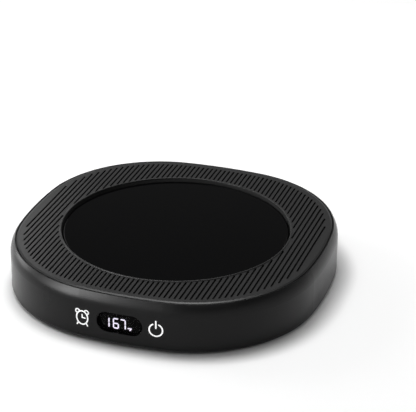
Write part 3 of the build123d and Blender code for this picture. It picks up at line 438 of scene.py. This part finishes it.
def solder_mask(name, colour, track_colour):
    """Green lacquer with raised copper tracks under it, which follow the edges of square cells."""
    finish, nodes, links, shader = start_finish(name, colour, 0.28)
    cells = nodes.new("ShaderNodeTexVoronoi")
    cells.distance = "CHEBYCHEV"
    cells.feature = "DISTANCE_TO_EDGE"
    cells.inputs["Scale"].default_value = 190.0
    cells.inputs["Randomness"].default_value = 0.75
    links.new(nodes.new("ShaderNodeTexCoord").outputs["Object"], cells.inputs["Vector"])
    tracks = tint_between(nodes, links, cells.outputs["Distance"], track_colour, colour, low=0.07, high=0.10)
    links.new(tracks, shader.inputs["Base Color"])
    raise_surface(nodes, links, shader, tracks, depth=0.00003)
    return finish


board_mask = solder_mask("board_mask", (0.012, 0.075, 0.030), track_colour=(0.030, 0.150, 0.055))
dress("power_board", board_mask)
dress("control_board", board_mask)

# ---------------------------------------------------------------- parts on the boards
# The mains side: terminal block, glass fuse in brass clips, varistor and filter
# capacitor. The rest: a triac for the heater, a can capacitor, the ribbon's header, and
# the controller on the upright board.
dress("terminal_block", moulded_plastic("terminal_green", (0.020, 0.180, 0.065), 0.42, grain=2000.0))
dress("fuse_clips", plated_metal("clip_brass", (0.62, 0.43, 0.16), 0.30))
dress("varistor", moulded_plastic("varistor_blue", (0.020, 0.055, 0.260), 0.30, grain=700.0))
dress("x_capacitor", moulded_plastic("capacitor_yellow", (0.560, 0.380, 0.030), 0.36, grain=2000.0))
epoxy_black = moulded_plastic("epoxy_black", (0.014, 0.014, 0.015), 0.48, grain=2400.0)
dress("triac", epoxy_black)
dress("controller_chip", epoxy_black)
dress("ribbon_header", moulded_plastic("header_cream", (0.560, 0.530, 0.440), 0.45, grain=2200.0))
dress("smoothing_capacitor", plated_metal("can_aluminium", (0.72, 0.73, 0.74), 0.28, stretch=(0.1, 1, 1)))


def capped_tube(name, node, cap_length):
    """Clear glass between two plated caps, told apart by the distance along X from the tube's middle."""
    low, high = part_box(node)
    middle = (low[0] + high[0]) / 2
    clear_half = (high[0] - low[0]) / 2 - cap_length
    finish, nodes, links, glass = start_finish(
        name, (0.94, 0.96, 0.96), 0.05, Transmission_Weight=1.0, IOR=1.5
    )
    cap = nodes.new("ShaderNodeBsdfPrincipled")
    cap.inputs["Metallic"].default_value = 1.0
    cap.inputs["Roughness"].default_value = 0.25
    wear = noise_field(nodes, links, scale=500.0, detail=3.0)
    plating = tint_between(nodes, links, wear, (0.55, 0.55, 0.53), (0.75, 0.75, 0.73))
    links.new(plating, cap.inputs["Base Color"])
    place = nodes.new("ShaderNodeSeparateXYZ")
    links.new(nodes.new("ShaderNodeTexCoord").outputs["Object"], place.inputs[0])
    offset = worked_out(nodes, links, "SUBTRACT", place.outputs["X"], middle)
    distance = worked_out(nodes, links, "ABSOLUTE", offset)
    beyond = worked_out(nodes, links, "GREATER_THAN", distance, clear_half)
    surface = shader_between(nodes, links, beyond, glass.outputs[0], cap.outputs[0])
    links.new(surface, nodes["Material Output"].inputs["Surface"])
    return finish


dress("mains_fuse", capped_tube("fuse_tube", "mains_fuse", cap_length=0.0045))

# ---------------------------------------------------------------- ribbon cable
# Flat grey cable over the floor from the control board to the power board. Its wires
# lie side by side, so its skin has a fold between each two.
wave_factor = 20


def set_pitch(wave, pitch):
    """Sets a wave texture, which multiplies its coordinate by a factor of its own, to a pitch in metres."""
    wave.inputs["Scale"].default_value = 2 * math.pi / (wave_factor * pitch)


def ribbed_ribbon(name, colour, pitch):
    """Grey skin with one round rib for each wire, repeated across X at the given pitch, with painted shade
    in the folds between the ribs.
    """
    finish, nodes, links, shader = start_finish(name, colour, 0.5)
    ribs = nodes.new("ShaderNodeTexWave")
    ribs.bands_direction = "X"
    set_pitch(ribs, pitch)
    links.new(nodes.new("ShaderNodeTexCoord").outputs["Object"], ribs.inputs["Vector"])
    height = ribs.outputs["Fac"]
    # painted shade: the folds between the ribs are darker
    tone = tint_between(nodes, links, height, shaded(colour, 0.6), colour)
    links.new(tone, shader.inputs["Base Color"])
    raise_surface(nodes, links, shader, height, depth=0.0002)
    return finish


dress("ribbon_cable", ribbed_ribbon("ribbon_grey", (0.26, 0.26, 0.27), pitch=0.00127))

# ---------------------------------------------------------------- springs
# Coils of spring wire: three lift the plate round its guide pillars and are pressed
# together as it sinks, and two join the control board to the wall behind the touch icons.
spring_wire = plated_metal("spring_wire", (0.56, 0.56, 0.55), 0.25, grain=1500.0, stretch=(1, 1, 1))
dress("touch_springs", spring_wire)

weld_distance = 1e-7
sharp_edge = math.radians(40)


def shortening_copy(name, node, finish):
    """The node's own triangles, welded at their corners into one mesh with smooth shading, which
    takes the node's place and is carried by the housing."""
    welded = bmesh.new()
    welded.from_mesh(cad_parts[node].data)
    bmesh.ops.remove_doubles(welded, verts=welded.verts, dist=weld_distance)
    mesh = bpy.data.meshes.new(name)
    welded.to_mesh(mesh)
    welded.free()
    mesh.shade_smooth()
    mesh.set_sharp_from_angle(angle=sharp_edge)
    mesh.materials.clear()
    mesh.materials.append(finish)
    piece = bpy.data.objects.new(name, mesh)
    bpy.context.scene.collection.objects.link(piece)
    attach(piece, "housing")
    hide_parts(node)
    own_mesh(piece)


shortening_copy("plate_coils", "plate_springs", spring_wire)

# ---------------------------------------------------------------- leads
# Silicone leads with some slack, which give way as the plate sinks: two thick ones to
# the heater and two thin ones to the sensor.
lead_white = silicone_sleeve("lead_white", (0.62, 0.60, 0.56))
shortening_copy("heater_wires", "heater_leads", lead_white)
shortening_copy("sensor_wires", "sensor_leads", lead_white)

# ---------------------------------------------------------------- plate carrier
# The ring that holds the glass, in black heat-resistant plastic, with three stems that
# run in the base's pillars, and in its middle below it the stem that presses the switch.
carrier_plastic = moulded_plastic("carrier_plastic", (0.014, 0.014, 0.014), 0.5, grain=2000.0, shine=0.3)
dress("plate_carrier", carrier_plastic)
dress("switch_actuator", carrier_plastic)

# ---------------------------------------------------------------- heater stack
# From the glass down: a silicone gasket, an aluminium spreader, a mica sheet with an
# etched foil track, a glass-fibre pad and a galvanised shield that closes it. With them
# are the sensor under the spreader and the thermal cut-off with the strap that holds it.
dress("plate_gasket", moulded_plastic("gasket_silicone", (0.30, 0.055, 0.025), 0.6, grain=1500.0))
rolled = plated_metal("rolled_aluminium", (0.76, 0.77, 0.78), 0.35, grain=700.0, stretch=(0.05, 1, 1))
dress("heat_spreader", rolled)
galvanised = plated_metal("galvanised_sheet", (0.58, 0.59, 0.61), 0.42, grain=260.0, stretch=(1, 1, 1))
dress("heat_shield", galvanised)
dress("sensor_clip", plated_metal("clip_steel", (0.60, 0.60, 0.60), 0.35))


def foil_on_mica(name, mica, foil, pitch):
    """Rings of bright foil on brown mica, repeated outwards from the Z axis at the given pitch."""
    finish, nodes, links, shader = start_finish(name, mica, 0.4)
    rings = nodes.new("ShaderNodeTexWave")
    rings.wave_type = "RINGS"
    rings.rings_direction = "Z"
    set_pitch(rings, pitch)
    links.new(nodes.new("ShaderNodeTexCoord").outputs["Object"], rings.inputs["Vector"])
    height = rings.outputs["Fac"]
    tracks = tint_between(nodes, links, height, mica, foil, low=0.48, high=0.52)
    links.new(tracks, shader.inputs["Base Color"])
    on_foil = worked_out(nodes, links, "GREATER_THAN", height, 0.5)
    links.new(on_foil, shader.inputs["Metallic"])
    raise_surface(nodes, links, shader, on_foil, depth=0.00003)
    return finish


dress("heating_element", foil_on_mica("foil_on_mica", (0.20, 0.12, 0.05), (0.55, 0.53, 0.48), pitch=0.003))


def pressed_fibre(name, colour):
    """Felted glass fibre: two crossed sets of long soft streaks, one over the other."""
    finish, nodes, links, shader = start_finish(name, colour, 0.95, Sheen_Weight=0.3)
    along = noise_field(nodes, links, scale=900.0, detail=4.0, stretch=(0.12, 1, 1))
    across = noise_field(nodes, links, scale=900.0, detail=4.0, stretch=(1, 0.12, 1))
    links.new(tint_between(nodes, links, along, shaded(colour, 0.7), colour), shader.inputs["Base Color"])
    raise_surface(nodes, links, shader, across, depth=0.0002)
    return finish


dress("insulation_pad", pressed_fibre("pressed_fibre", (0.66, 0.65, 0.60)))
dress("thermistor", moulded_plastic("sensor_epoxy", (0.020, 0.020, 0.022), 0.42, grain=1600.0))
dress("thermal_fuse", plated_metal("cutoff_can", (0.66, 0.64, 0.58), 0.30, stretch=(0.1, 1, 1)))

# ---------------------------------------------------------------- warming plate
# A disc of black ceramic glass with a ground edge, bonded into the carrier over its
# gasket. It is polished, so only faint wiping marks break its shine.
plate_glass, nodes, links, shader = start_finish(
    "plate_glass", (0.0018, 0.0018, 0.0020), 0.10, Specular_IOR_Level=0.03
)
smears = noise_field(nodes, links, scale=26.0, detail=4.0, stretch=(1, 0.35, 1))
links.new(spread(nodes, links, smears, low=0.06, high=0.13), shader.inputs["Roughness"])
dust = noise_field(nodes, links, scale=2500.0, detail=1.0)
dusty_black = tint_between(nodes, links, dust, (0.0014, 0.0014, 0.0015), (0.0022, 0.0022, 0.0024))
links.new(dusty_black, shader.inputs["Base Color"])
dress("warming_plate", plate_glass)

# ---------------------------------------------------------------- body shell
# The outer wall, moulded in satin black plastic. The softly lit shoulder shows its
# fine grain best.
dress(
    "body_shell",
    moulded_plastic("shell_satin", (0.0030, 0.0030, 0.0032), 0.29, grain=3600.0, depth=0.000012, shine=0.17),
)

# ---------------------------------------------------------------- top deck
# The grooved deck, in the same plastic with a duller grain, snapped over the ledge and
# held by the four screws from below. Its grooves are rougher, and painted black as shade.
lip_above_deck = 0.00025
dull_from = 0.00035
dull_to = 0.00045
groove_roughness = 0.95
# painted shade: the black that the grooves and the deck's sides get
groove_painted_shade = (0.0006, 0.0006, 0.0006, 1)


def grooved_satin(name, colour, roughness, level):
    """Satin plastic above a level in metres, and from a little below it rough and painted black as shade."""
    finish = moulded_plastic(name, colour, roughness, grain=4200.0, depth=0.000008, shine=0.36)
    nodes, links = finish.node_tree.nodes, finish.node_tree.links
    shader = nodes["Principled BSDF"]
    satin_colour = shader.inputs["Base Color"].links[0].from_socket
    satin_roughness = shader.inputs["Roughness"].links[0].from_socket
    place = nodes.new("ShaderNodeSeparateXYZ")
    links.new(nodes.new("ShaderNodeTexCoord").outputs["Object"], place.inputs[0])
    in_groove = mapped(nodes, links, place.outputs["Z"], level - dull_from, level - dull_to)
    duller = value_between(nodes, links, in_groove, satin_roughness, groove_roughness)
    links.new(duller, shader.inputs["Roughness"])
    # painted shade: below the level the base colour turns black
    darker = nodes.new("ShaderNodeMixRGB")
    darker.inputs["Color2"].default_value = groove_painted_shade
    links.new(in_groove, darker.inputs["Fac"])
    links.new(satin_colour, darker.inputs["Color1"])
    links.new(darker.outputs["Color"], shader.inputs["Base Color"])
    return finish


deck_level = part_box("top_deck")[1][2] - lip_above_deck
dress("top_deck", grooved_satin("deck_satin", (0.004, 0.004, 0.0042), 0.38, deck_level))

# ---------------------------------------------------------------- cord gland
# A black rubber grommet that slides up into the rear wall's notch. The mains cord would
# pass through its bore.
dress("cord_gland", moulded_plastic("gland_rubber", (0.016, 0.016, 0.016), 0.75, grain=2200.0, shine=0.25))

# ---------------------------------------------------------------- display
# A smoked window glued flush into the wall. Behind it the light box's black face
# carries the raised segments, which light up in cold white.
smoked_window, nodes, links, shader = start_finish(
    "smoked_window", (0.001, 0.001, 0.001), 0.06, Alpha=0.40, Specular_IOR_Level=0.03
)
wipes = noise_field(nodes, links, scale=140.0, detail=3.0)
links.new(spread(nodes, links, wipes, low=0.04, high=0.10), shader.inputs["Roughness"])
dress("display_window", smoked_window)
light_box = moulded_plastic("light_box_black", (0.004, 0.004, 0.004), 0.6, grain=2600.0, shine=0.2)
dress("display_module", light_box)


def glowing_plastic(name, colour, strength):
    """Milky plastic that glows, a little uneven over its surface: the digits' own light, and painted light
    on the icons.
    """
    finish, nodes, links, shader = start_finish(name, colour, 0.4, Emission_Strength=strength)
    unevenness = noise_field(nodes, links, scale=500.0, detail=2.0)
    glow = tint_between(nodes, links, unevenness, shaded(colour, 0.9), colour)
    links.new(glow, shader.inputs["Emission Color"])
    return finish


dress("display_digits", glowing_plastic("lit_segments", (0.84, 0.78, 0.93), strength=3.3))

# ---------------------------------------------------------------- touch icons
# The alarm clock and the power sign are thin white inlays, flush with the wall. Their glow
# is painted light, for the light behind them while the warmer is on, and keeps them bright.
# painted light: the icons glow by emission
icon_painted_glow = glowing_plastic("icon_painted_glow", (0.80, 0.80, 0.80), strength=0.80)
dress("timer_icon", icon_painted_glow)
dress("power_icon", icon_painted_glow)
